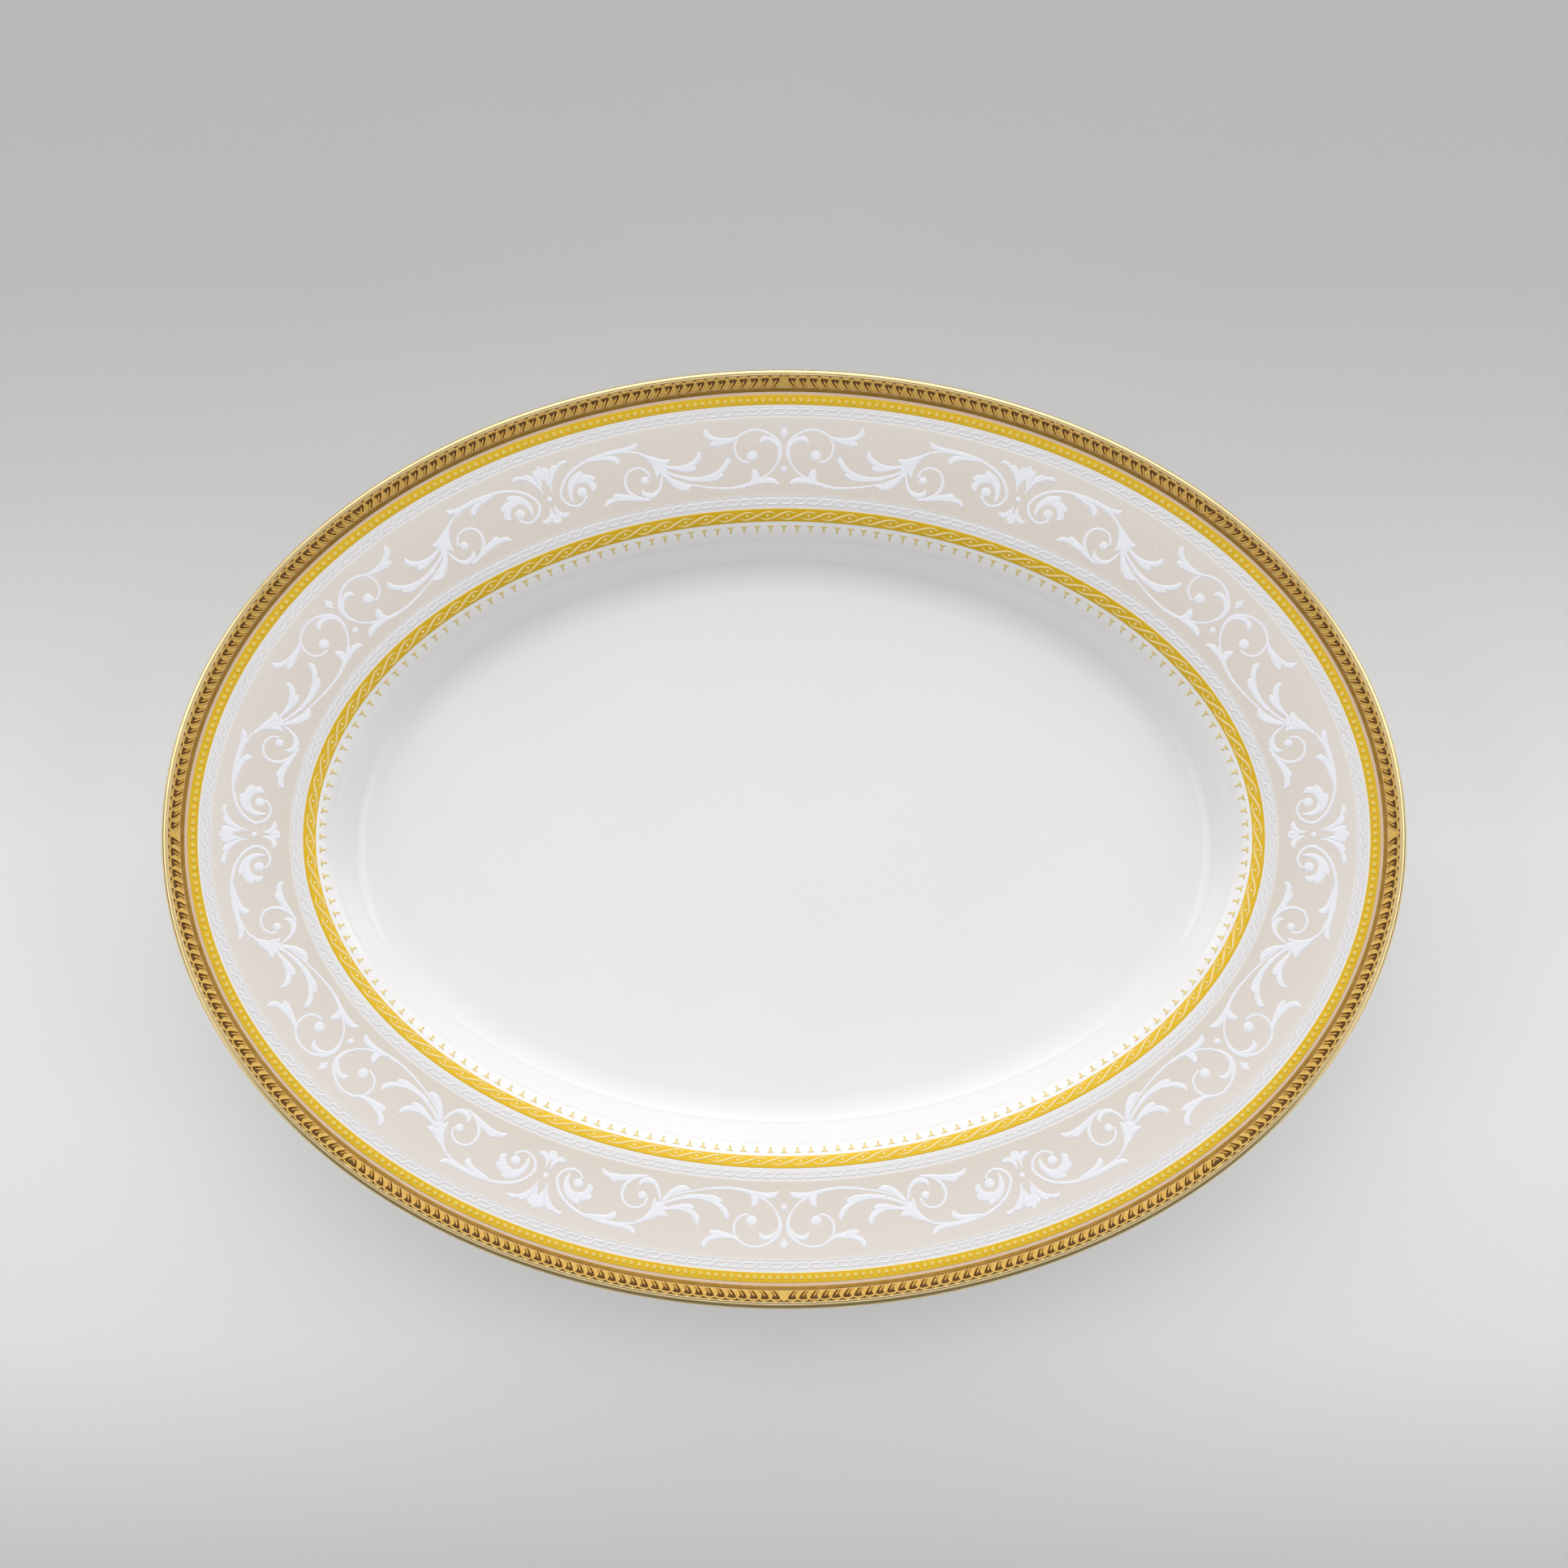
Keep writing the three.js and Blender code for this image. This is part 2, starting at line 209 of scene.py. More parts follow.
# ---- Plan of the platter -----------------------------------------------------

def plan(angle, depth):
    """A place seen from above. Inside the floor's edge the rings shrink to the centre."""
    normal_x = np.cos(angle) / HALF_LENGTH
    normal_y = np.sin(angle) / HALF_WIDTH
    inward = np.minimum(depth, FLOOR_DEPTH) / np.hypot(normal_x, normal_y)
    shrink = np.minimum(1, (CENTRE_DEPTH - depth) / (CENTRE_DEPTH - FLOOR_DEPTH))
    x = (HALF_LENGTH * np.cos(angle) - inward * normal_x) * shrink
    y = (HALF_WIDTH * np.sin(angle) - inward * normal_y) * shrink
    return x, y


class Walk:
    """Turns distances along the oval curve at one depth into angles, from +X."""

    def __init__(self, depth):
        self.angles = np.linspace(0, 2 * math.pi, WALK_SAMPLES + 1)
        x, y = plan(self.angles, depth)
        steps = np.hypot(np.diff(x), np.diff(y))
        self.lengths = np.concatenate([[0], np.cumsum(steps)])
        self.total = self.lengths[-1]

    def angle(self, along):
        turns = np.floor(along / self.total)
        rest = along - turns * self.total
        return np.interp(rest, self.lengths, self.angles) + turns * 2 * math.pi


def on_face(walk, places):
    """World points, in metres, of (along, depth, height) places on the face."""
    along, depth, height = np.asarray(places, float).T
    slope = np.interp(depth, FACE[:, 0], FACE_SLOPE)
    x, y = plan(walk.angle(along), depth + height * np.sin(slope))
    z = np.interp(depth, FACE[:, 0], FACE[:, 1]) + height * np.cos(slope)
    return np.stack([x, y, z], axis=1) * MM


# ---- Meshes ------------------------------------------------------------------

class Relief:
    """Points and faces gathered for one mesh, with a finish number for each face."""

    def __init__(self):
        self.points = []
        self.faces = []
        self.finishes = []
        self.count = 0

    def add(self, points, faces, finish=0):
        points = np.asarray(points, float)
        self.points.append(points)
        for group in faces:
            self.faces.append(np.asarray(group) + self.count)
            self.finishes.append(finish)
        self.count += len(points)

    def all_points(self):
        return np.concatenate(self.points)

    def join(self, other, points):
        """Adds another relief's faces on new points."""
        self.points.append(points)
        for group, finish in zip(other.faces, other.finishes):
            self.faces.append(group + self.count)
            self.finishes.append(finish)
        self.count += len(points)

    def repeat(self, motif, starts, mirrored=False):
        """Adds copies of a motif that begin at some places along a band."""
        base = motif.all_points()
        sign = -1 if mirrored else 1
        for start in starts:
            self.join(motif, base * (sign, 1, 1) + (start, 0, 0))


def grid_faces(rows, columns, round_rows=False, round_columns=False):
    """Quads between neighbouring points of a grid that may close on itself."""
    last_row = rows if round_rows else rows - 1
    last_column = columns if round_columns else columns - 1
    row, column = np.meshgrid(np.arange(last_row), np.arange(last_column), indexing="ij")
    next_row = (row + 1) % rows
    next_column = (column + 1) % columns
    corners = [row * columns + column, next_row * columns + column,
               next_row * columns + next_column, row * columns + next_column]
    return np.stack([c.ravel() for c in corners], axis=1)


def smooth_curve(points, steps):
    """Evenly spaced points on a smooth curve through the given ones."""
    points = np.array(points, float)
    knots = np.concatenate([[0], np.cumsum(np.linalg.norm(np.diff(points, axis=0), axis=1))])
    slopes = np.gradient(points, knots, axis=0)
    fine = np.linspace(0, knots[-1], 12 * len(points))
    i = np.clip(np.searchsorted(knots, fine, side="right") - 1, 0, len(points) - 2)
    span = (knots[i + 1] - knots[i])[:, None]
    t = (fine[:, None] - knots[i][:, None]) / span
    rise = t * t * (3 - 2 * t)
    leave = t * (1 - t) ** 2 * span
    arrive = t * t * (t - 1) * span
    curve = points[i] * (1 - rise) + points[i + 1] * rise + slopes[i] * leave + slopes[i + 1] * arrive
    lengths = np.concatenate([[0], np.cumsum(np.linalg.norm(np.diff(curve, axis=0), axis=1))])
    places = np.linspace(0, lengths[-1], steps + 1)
    return np.stack([np.interp(places, lengths, column) for column in curve.T], axis=1)


def add_ridge(relief, left, right, crowns, base=0.0, across=6, flat=0.5, finish=0):
    """A closed ridge between two edges, domed across, with its feet in the face."""
    share = np.linspace(0, 1, across + 1)
    dome = (4 * share * (1 - share)) ** flat
    rows = []
    for start, end, crown in zip(left, right, crowns):
        ring = [(start[0], start[1], base - SINK)]
        for s, lift in zip(share, dome):
            ring.append((*(start + (end - start) * s), base + crown * lift))
        ring.append((end[0], end[1], base - SINK))
        rows.append(ring)
    columns = across + 3
    faces = [grid_faces(len(rows), columns, round_columns=True)]
    faces.append([list(range(columns))[::-1]])
    faces.append([[(len(rows) - 1) * columns + i for i in range(columns)]])
    relief.add(np.concatenate(rows), faces, finish)


def add_stem(relief, spine, crown, steps=24, **shape):
    """A ridge along a spine of (along, depth, half-width) points."""
    curve = smooth_curve(spine, steps)
    middle = curve[:, :2]
    half = np.maximum(curve[:, 2:], 0.02)
    tangent = np.gradient(middle, axis=0)
    tangent /= np.linalg.norm(tangent, axis=1)[:, None]
    side = np.stack([-tangent[:, 1], tangent[:, 0]], axis=1)
    widest = max(point[2] for point in spine)
    crowns = crown * (half[:, 0] / widest) ** 0.6
    add_ridge(relief, middle + side * half, middle - side * half, crowns, **shape)


def add_leaf(relief, edge, other_edge, crown, steps=22, swell=LEAF_SWELL, **shape):
    """A crowned leaf between two edges that end at the same tip."""
    left = smooth_curve(edge, steps)
    right = smooth_curve(other_edge, steps)
    widths = np.linalg.norm(right - left, axis=1)
    apart = (right - left) / np.maximum(widths, 0.2)[:, None]
    left = left - swell * apart
    right = right + swell * apart
    widths = widths + 2 * swell
    crowns = crown * np.minimum(1, widths / 0.9) ** 0.7 + 0.01
    add_ridge(relief, left, right, crowns, **shape)


def add_dome(relief, along, depth, radius, crown, base=0.0, sides=16, rings=5, finish=0):
    """A round button that stands on the face."""
    turn = np.linspace(0, 2 * math.pi, sides, endpoint=False)
    points = []
    for k in range(rings + 1):
        lift = math.radians(90) * k / (rings + 0.6)
        reach = radius * math.cos(lift)
        height = base - SINK if k == 0 else base + crown * math.sin(lift)
        points += [(along + reach * math.cos(a), depth + reach * math.sin(a), height) for a in turn]
    faces = [grid_faces(rings + 1, sides, round_columns=True)]
    faces.append([list(range(sides))[::-1]])
    faces.append([[rings * sides + i for i in range(sides)]])
    relief.add(points, faces, finish)


def add_button(relief, along, depth, radius, crown, base=0.0, sides=14, finish=0):
    """A round bead with a raised rim and a dished middle."""
    turn = np.linspace(0, 2 * math.pi, sides, endpoint=False)
    profile = [(1.0, -SINK), (1.0, base), (0.9, base + 0.75 * crown), (0.7, base + crown),
               (0.42, base + 0.72 * crown), (0.12, base + 0.6 * crown)]
    points = [(along + radius * share * math.cos(a), depth + radius * share * math.sin(a), height)
              for share, height in profile for a in turn]
    last = len(profile) - 1
    faces = [grid_faces(len(profile), sides, round_columns=True)]
    faces.append([list(range(sides))[::-1]])
    faces.append([[last * sides + i for i in range(sides)]])
    relief.add(points, faces, finish)


def lathe(section, closed):
    """Sweeps (depth, height) points round the oval. Gives metres and quads."""
    section = np.array(section, float)
    angles = np.linspace(0, 2 * math.pi, RINGS, endpoint=False)
    angle, depth = np.meshgrid(angles, section[:, 0], indexing="ij")
    x, y = plan(angle, depth)
    z = np.broadcast_to(section[:, 1], x.shape)
    points = np.stack([x.ravel(), y.ravel(), z.ravel()], axis=1) * MM
    return points, grid_faces(RINGS, len(section), round_rows=True, round_columns=closed)


def make_piece(name, node, relief, materials):
    """Makes a piece that rides on the body and stands for one CAD node."""
    faces = [face for group in relief.faces for face in group.tolist()]
    mesh = bpy.data.meshes.new(name)
    mesh.from_pydata(relief.all_points(), [], faces)
    for material in materials:
        mesh.materials.append(material)
    counts = [len(group) for group in relief.faces]
    mesh.polygons.foreach_set("material_index", np.repeat(relief.finishes, counts).astype(np.int32))
    mesh.polygons.foreach_set("use_smooth", np.ones(len(faces), bool))
    fix_normals(mesh)
    piece = bpy.data.objects.new(name, mesh)
    bpy.context.scene.collection.objects.link(piece)
    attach(piece, "root")
    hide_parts(node)
    return piece


def fix_normals(mesh):
    """Turns every closed shell of a mesh face out."""
    shell = bmesh.new()
    shell.from_mesh(mesh)
    bmesh.ops.recalc_face_normals(shell, faces=shell.faces)
    shell.to_mesh(mesh)
    shell.free()


def mark_depth(piece, depths):
    """Keeps each point's depth from the edge for the materials to read."""
    attribute = piece.data.attributes.new("depth", "FLOAT", "POINT")
    attribute.data.foreach_set("value", np.asarray(depths, np.float32))


# ---- Materials -----------------------------------------------------------------

class Finish:
    """A material and short ways to add the nodes that give it detail."""

    def __init__(self, name, colour, roughness, metallic=0.0, ior=1.5):
        self.material = bpy.data.materials.new(name)
        self.material.use_nodes = True
        self.tree = self.material.node_tree
        self.shader = self.tree.nodes["Principled BSDF"]
        self.set("Base Color", (*colour, 1))
        self.set("Roughness", roughness)
        self.set("Metallic", metallic)
        self.set("IOR", ior)
        place = self.tree.nodes.new("ShaderNodeTexCoord")
        self.place = place.outputs["Object"]

    def set(self, socket, value):
        self.shader.inputs[socket].default_value = value

    def link(self, output, target):
        self.tree.links.new(output, target)

    def noise(self, size, detail=3.0):
        """Noise whose blotches are about this many millimetres across."""
        node = self.tree.nodes.new("ShaderNodeTexNoise")
        node.inputs["Scale"].default_value = 1 / (size * MM)
        node.inputs["Detail"].default_value = detail
        self.link(self.place, node.inputs["Vector"])
        return node.outputs["Fac"]

    def spread(self, value, low, high, from_low=0.3, from_high=0.7):
        """Maps a value from one range to another, with the ends held."""
        node = self.tree.nodes.new("ShaderNodeMapRange")
        node.inputs["From Min"].default_value = from_low
        node.inputs["From Max"].default_value = from_high
        node.inputs["To Min"].default_value = low
        node.inputs["To Max"].default_value = high
        self.link(value, node.inputs["Value"])
        return node.outputs["Result"]

    def math(self, operation, first, second):
        node = self.tree.nodes.new("ShaderNodeMath")
        node.operation = operation
        for socket, value in zip(node.inputs, (first, second)):
            if isinstance(value, (int, float)):
                socket.default_value = value
            else:
                self.link(value, socket)
        return node.outputs["Value"]

    def blend(self, share, colour, other):
        """Mixes two colours, either of which may come from a node."""
        node = self.tree.nodes.new("ShaderNodeMix")
        node.data_type = "RGBA"
        self.link(share, node.inputs["Factor"])
        for name, value in (("A", colour), ("B", other)):
            socket = [s for s in node.inputs if s.name == name and s.type == "RGBA"][0]
            if isinstance(value, tuple):
                socket.default_value = (*value, 1)
            else:
                self.link(value, socket)
        return [s for s in node.outputs if s.type == "RGBA"][0]

    def depth(self):
        """Each point's depth from the edge, on a piece that keeps it."""
        node = self.tree.nodes.new("ShaderNodeAttribute")
        node.attribute_name = "depth"
        return node.outputs["Fac"]

    def between(self, start, full, waning, end):
        """1 between two depths, fading in before them and out after them."""
        begins = self.spread(self.depth(), 0, 1, start, full)
        ends = self.spread(self.depth(), 1, 0, waning, end)
        return self.math("MULTIPLY", begins, ends)

    def colour(self, output):
        self.link(output, self.shader.inputs["Base Color"])

    def roughness(self, output):
        self.link(output, self.shader.inputs["Roughness"])

    def mottle(self, size, colour, other):
        """Lets the base colour drift between two tones in blotches of a size."""
        self.colour(self.blend(self.spread(self.noise(size), 0, 1), colour, other))

    def uneven(self, size, low, high):
        """Lets the roughness drift between two values in blotches of a size."""
        self.roughness(self.spread(self.noise(size), low, high))

    def bump(self, heights):
        """Chains bumps given as (height output, distance in millimetres)."""
        last = None
        for height, distance in heights:
            node = self.tree.nodes.new("ShaderNodeBump")
            node.inputs["Distance"].default_value = distance * MM
            self.link(height, node.inputs["Height"])
            if last:
                self.link(last, node.inputs["Normal"])
            last = node.outputs["Normal"]
        self.link(last, self.shader.inputs["Normal"])


def china_finish():
    """Clear-glazed bone china: nearly white, wavy, toned under the print and by the gold line."""
    finish = Finish("bone_china_glaze", (0.86, 0.85, 0.85), 0.09, ior=1.52)
    warm = finish.blend(finish.spread(finish.noise(38), 0, 1), (0.868, 0.858, 0.858), (0.852, 0.842, 0.84))
    printed = finish.between(BEAD_BAND[1], BEAD_BAND[1] + 0.8, PLAIT_BAND[0] - 0.8, PLAIT_BAND[0])
    toned = finish.blend(printed, warm, (0.77, 0.75, 0.735))
    gap = finish.between(LINE_BAND[1] - 0.1, LINE_BAND[1], BEAD_BAND[0] + 0.1, BEAD_BAND[0] + 0.2)
    finish.colour(finish.blend(gap, toned, (0.68, 0.51, 0.37)))
    finish.uneven(9, 0.07, 0.12)
    finish.bump([(finish.noise(22, 1.0), 0.035), (finish.noise(1.1), 0.0015)])
    return finish.material


def enamel_finish():
    """Raised white enamel, a little cooler and softer than the glaze."""
    finish = Finish("raised_white_enamel", (0.85, 0.86, 0.91), 0.3, ior=1.5)
    finish.mottle(1.6, (0.86, 0.87, 0.92), (0.84, 0.845, 0.9))
    finish.uneven(0.7, 0.24, 0.38)
    finish.bump([(finish.noise(0.5), 0.02)])
    return finish.material


def taupe_finish():
    """The tinted ground, sprayed on so that it thins out towards both edges."""
    finish = Finish("taupe_ground_colour", (0.76, 0.70, 0.64), 0.22, ior=1.5)
    speckle = finish.spread(finish.noise(0.6), 0, 0.2)
    blotch = finish.spread(finish.noise(12), 0, 0.12)
    depth = finish.depth()
    inward = finish.spread(depth, 0, 1, GROUND_BAND[0], GROUND_BAND[1])
    tint = finish.blend(inward, (0.77, 0.713, 0.66), (0.72, 0.65, 0.578))
    tint = finish.blend(speckle, tint, (0.71, 0.64, 0.57))
    tint = finish.blend(blotch, tint, (0.79, 0.735, 0.685))
    outer = finish.spread(depth, 1, 0, GROUND_BAND[0], GROUND_BAND[0] + 1.0)
    inner = finish.spread(depth, 0, 1, GROUND_BAND[1] - 0.8, GROUND_BAND[1])
    fade = finish.math("MAXIMUM", outer, inner)
    finish.colour(finish.blend(fade, tint, (0.83, 0.81, 0.795)))
    finish.uneven(3, 0.2, 0.3)
    finish.bump([(finish.noise(0.4), 0.006), (finish.noise(18, 1.0), 0.02)])
    return finish.material


def bright_gold_finish():
    """Burnished gold of the lip."""
    finish = Finish("burnished_gold", (0.92, 0.72, 0.37), 0.14, metallic=1.0)
    finish.mottle(4, (0.94, 0.75, 0.40), (0.89, 0.68, 0.33))
    finish.uneven(1.5, 0.1, 0.2)
    finish.bump([(finish.noise(0.8), 0.004)])
    return finish.material


def line_gold_painted_shade_finish():
    """The plain line's gold, a little brown: its base is painted deeper than the lip's gold, as painted
    shade on the flat line.
    """
    finish = Finish("gold_line_painted_shade", (0.48, 0.27, 0.06), 0.2, metallic=1.0)
    # Painted shade: the base is held deeper and browner than the lip's gold
    finish.mottle(3, (0.54, 0.31, 0.07), (0.44, 0.235, 0.042))
    finish.uneven(1.2, 0.15, 0.26)
    finish.bump([(finish.noise(0.6), 0.005)])
    return finish.material


def etched_gold_finish():
    """Gold of the etched edge: its flat ground and its raised leaves."""
    finish = Finish("etched_gold_relief", (0.9, 0.585, 0.155), 0.24, metallic=0.85)
    finish.mottle(0.9, (0.95, 0.645, 0.19), (0.85, 0.525, 0.125))
    finish.uneven(0.5, 0.2, 0.32)
    finish.bump([(finish.noise(0.35), 0.012)])
    return finish.material


def pit_shade_finish():
    """The acid-bitten pits between the leaves, matt and dull, painted dark brown for the shade that fills
    them.
    """
    finish = Finish("etched_gold_painted_shade", (0.15, 0.07, 0.025), 0.5, metallic=0.6)
    finish.mottle(0.7, (0.19, 0.09, 0.028), (0.10, 0.042, 0.012))
    finish.uneven(0.4, 0.42, 0.6)
    finish.bump([(finish.noise(0.3), 0.03)])
    return finish.material


def yellow_gold_finish():
    """Matt yellow gold of the printed bands."""
    finish = Finish("matt_yellow_gold", (0.82, 0.52, 0.015), 0.45, metallic=0.3)
    finish.mottle(1.2, (0.83, 0.535, 0.018), (0.78, 0.485, 0.01))
    finish.uneven(0.6, 0.36, 0.5)
    finish.bump([(finish.noise(0.4), 0.012)])
    return finish.material


def bead_gold_finish():
    """The beads' gold, a little lighter than the band under them."""
    finish = Finish("bead_gold", (0.86, 0.64, 0.12), 0.32, metallic=0.3)
    finish.mottle(0.8, (0.90, 0.70, 0.20), (0.84, 0.63, 0.13))
    finish.uneven(0.5, 0.26, 0.4)
    finish.bump([(finish.noise(0.35), 0.006)])
    return finish.material


def fringe_gold_finish():
    """The thin, pale gold of the fringe."""
    finish = Finish("thin_fringe_gold", (0.80, 0.66, 0.27), 0.36, metallic=0.15)
    finish.mottle(0.9, (0.83, 0.69, 0.30), (0.77, 0.62, 0.23))
    finish.uneven(0.5, 0.3, 0.45)
    finish.bump([(finish.noise(0.35), 0.006)])
    return finish.material


def pale_gold_finish():
    """The pale gold of the plait's strands and dots, lighter than the band under them."""
    finish = Finish("pale_yellow_gold", (0.90, 0.72, 0.34), 0.3, metallic=0.2)
    finish.mottle(0.8, (0.92, 0.75, 0.38), (0.87, 0.67, 0.28))
    finish.uneven(0.5, 0.24, 0.38)
    finish.bump([(finish.noise(0.35), 0.008)])
    return finish.material


# ---- Pieces ----------------------------------------------------------------------

def make_body(material):
    """The fired body in one skin. The underside counts as depth 0, so that no print tones it."""
    section = body_section()
    points, faces = lathe(section, closed=False)
    relief = Relief()
    columns = len(section)
    top = [i * columns for i in range(RINGS)]
    bottom = [i * columns + columns - 1 for i in range(RINGS)]
    relief.add(points, [faces, [top], [bottom[::-1]]])
    piece = make_piece("body_fine", "china_body", relief, [material])
    depths = np.array(section)[:, 0]
    depths[FLOOR_STEPS + len(FACE):] = 0
    mark_depth(piece, np.tile(depths, RINGS))


def make_lip(material):
    """The gilded nose, with a fine groove and a hair line beside the etched band."""
    outer = nose_arc(LIP_END_ANGLE, 62, GILDING, 26)
    top = CREST + GILDING
    groove = [(1.02, -0.2), (1.1, -0.28), (1.18, -0.28), (1.26, -0.14), (1.34, -0.06),
              (1.46, -0.04), (1.56, -0.1), (1.62, -0.2), (1.72, -0.27)]
    step = [(depth, top + fall) for depth, fall in groove]
    inner = nose_arc(85, LIP_END_ANGLE, SINK, 24)
    points, faces = lathe(outer + step + inner, closed=True)
    relief = Relief()
    relief.add(points, [faces])
    make_piece("lip_fine", "rim_gold_lip", relief, [material])


def add_band(relief, band, height, steps, edge=0.12, finish=0):
    """A flat film over a band of the face, with its edges rounded down."""
    start, end = band
    middle = np.linspace(start + edge, end - edge, steps)
    depths = np.concatenate([[start, start + edge * 0.3], middle, [end - edge * 0.3, end]])
    heights = np.concatenate([[-SINK, height * 0.7], np.full(steps, height), [height * 0.7, -SINK]])
    slope = np.interp(depths, FACE[:, 0], FACE_SLOPE)
    level = np.interp(depths, FACE[:, 0], FACE[:, 1])
    section = list(zip(depths + heights * np.sin(slope), level + heights * np.cos(slope)))
    points, faces = lathe(section, closed=True)
    relief.add(points, [faces], finish)
    return depths


def lay_round(relief, motif, walk, starts, mirrored=False):
    """Lays a motif's copies on the face, in a relief whose points are in metres."""
    line = Relief()
    line.repeat(motif, starts, mirrored)
    relief.join(line, on_face(walk, line.all_points()))


def leaf_motif():
    """One leaf of the etched edge: a leaning rib with a forked head, two fingers, and pits of painted
    shade.
    """
    motif = Relief()
    top, bottom = FRIEZE_BAND
    span = bottom - top
    rib = [(0.0, top + 0.35, 0.14), (0.08, top + 0.24 * span, 0.22), (0.4, top + 0.46 * span, 0.24),
           (1.05, top + 0.74 * span, 0.26), (1.9, bottom, 0.28)]
    left_arm = [(0.05, top + 0.8, 0.18), (-0.3, top + 0.42, 0.18), (-0.8, top + 0.24, 0.14),
                (-1.3, top + 0.32, 0.07)]
    right_arm = [(0.1, top + 0.8, 0.18), (0.45, top + 0.38, 0.18), (0.9, top + 0.24, 0.16),
                 (1.4, top + 0.42, 0.07)]
    thick = [(1.35, top + 0.38 * span, 0.1), (1.62, top + 0.52 * span, 0.24),
             (2.1, top + 0.74 * span, 0.25), (2.75, bottom, 0.26)]
    thin = [(2.15, top + 0.52 * span, 0.06), (2.55, top + 0.68 * span, 0.14), (3.4, bottom, 0.18)]
    for spine, crown in ((rib, 0.46), (left_arm, 0.4), (right_arm, 0.4), (thick, 0.42), (thin, 0.3)):
        add_stem(motif, spine, crown, steps=9, across=4)
    add_shade_pits(motif, top, bottom)
    return motif


def add_shade_pits(motif, top, bottom):
    """Painted shade in a leaf's pits, as thin dark sheets: one under its arch with two tails, one in its
    fork.
    """
    # Thin dark sheets laid just over the band: painted shade in the pits
    shade_sheet = {"base": 0.065, "across": 4, "finish": 1}
    arch = [(0.35, top + 0.95), (0.9, top + 0.66), (1.6, top + 0.7), (2.3, top + 0.72), (2.85, top + 0.95)]
    under = [(0.35, top + 0.95), (0.8, top + 1.6), (1.5, top + 1.75), (2.2, top + 1.6), (2.85, top + 0.95)]
    add_leaf(motif, arch, under, 0.02, steps=8, swell=0.0, **shade_sheet)
    fork = [(-0.65, top + 0.06), (0.05, top + 0.03), (0.75, top + 0.06)]
    crotch = [(-0.65, top + 0.06), (0.06, top + 0.8), (0.75, top + 0.06)]
    add_leaf(motif, fork, crotch, 0.02, steps=6, swell=0.0, **shade_sheet)
    for tail in ([(0.8, top + 1.3, 0.26), (1.2, top + 1.95, 0.22), (2.2, bottom - 0.15, 0.12)],
                 [(2.05, top + 1.2, 0.26), (2.3, top + 1.9, 0.2), (3.0, bottom - 0.3, 0.1)]):
        add_stem(motif, tail, 0.02, steps=6, **shade_sheet)


def make_frieze(material, pit_shade):
    """The etched edge. Its leaves turn over at the end of every quarter and once within it."""
    relief = Relief()
    add_band(relief, FRIEZE_BAND, height=0.06, steps=8)
    walk = Walk(FRIEZE_BAND[0])
    quarter = walk.total / 4
    pitch = quarter / (LEAVES_BY_LONG_SIDE + LEAVES_BY_END)
    motif = leaf_motif()
    for side in range(4):
        start = side * quarter
        first = LEAVES_BY_END if side % 2 == 0 else LEAVES_BY_LONG_SIDE
        second = LEAVES_BY_LONG_SIDE + LEAVES_BY_END - first
        joint = start + first * pitch
        lay_round(relief, motif, walk, start + (np.arange(first) + 0.25) * pitch)
        lay_round(relief, motif, walk, joint + (np.arange(second) + 0.75) * pitch, mirrored=True)
    # The second finish paints the shade in the leaves' pits
    make_piece("frieze_fine", "rim_gold_frieze", relief, [material, pit_shade])


def make_line(material):
    """The plain gold line inside the etched edge."""
    relief = Relief()
    add_band(relief, LINE_BAND, height=0.16, steps=6)
    make_piece("line_fine", "rim_gold_line", relief, [material])


def make_bead_band(flat, bright):
    """The yellow gold band with its string of round beads."""
    relief = Relief()
    add_band(relief, BEAD_BAND, height=0.1, steps=8)
    walk = Walk(BEAD_DEPTH)
    bead = Relief()
    add_button(bead, 0, BEAD_DEPTH, radius=0.64, crown=0.28, base=0.1, finish=1)
    lay_round(relief, bead, walk, np.arange(BEADS) * walk.total / BEADS)
    make_piece("beads_fine", "bead_band_gold", relief, [flat, bright])


def make_chain(name, node, depth, links, material):
    """A band of flattened links: each strand runs out, crosses over and runs on."""
    walk = Walk(depth)
    pitch = walk.total / links
    rise = 0.7
    # A strand's points: along in pitches, sideways, half-width
    strand = [(0.0, -rise, 0.16), (0.3, -rise, 0.22), (0.64, -rise, 0.22), (0.77, -0.75 * rise, 0.22),
              (0.87, 0.0, 0.22), (0.97, 0.75 * rise, 0.22), (1.1, rise, 0.22), (1.45, rise, 0.22),
              (1.75, rise, 0.16)]
    motif = Relief()
    spine = [(u * pitch, depth + v, w) for u, v, w in strand]
    add_stem(motif, spine, crown=0.16, steps=20, across=4)
    relief = Relief()
    lay_round(relief, motif, walk, np.arange(links) * pitch)
    make_piece(name, node, relief, [material])


def make_ground(material):
    """The tinted ground under the scrolls."""
    relief = Relief()
    depths = add_band(relief, GROUND_BAND, height=0.06, steps=44, edge=0.3)
    piece = make_piece("ground_fine", "taupe_ground", relief, [material])
    mark_depth(piece, np.tile(depths, RINGS))


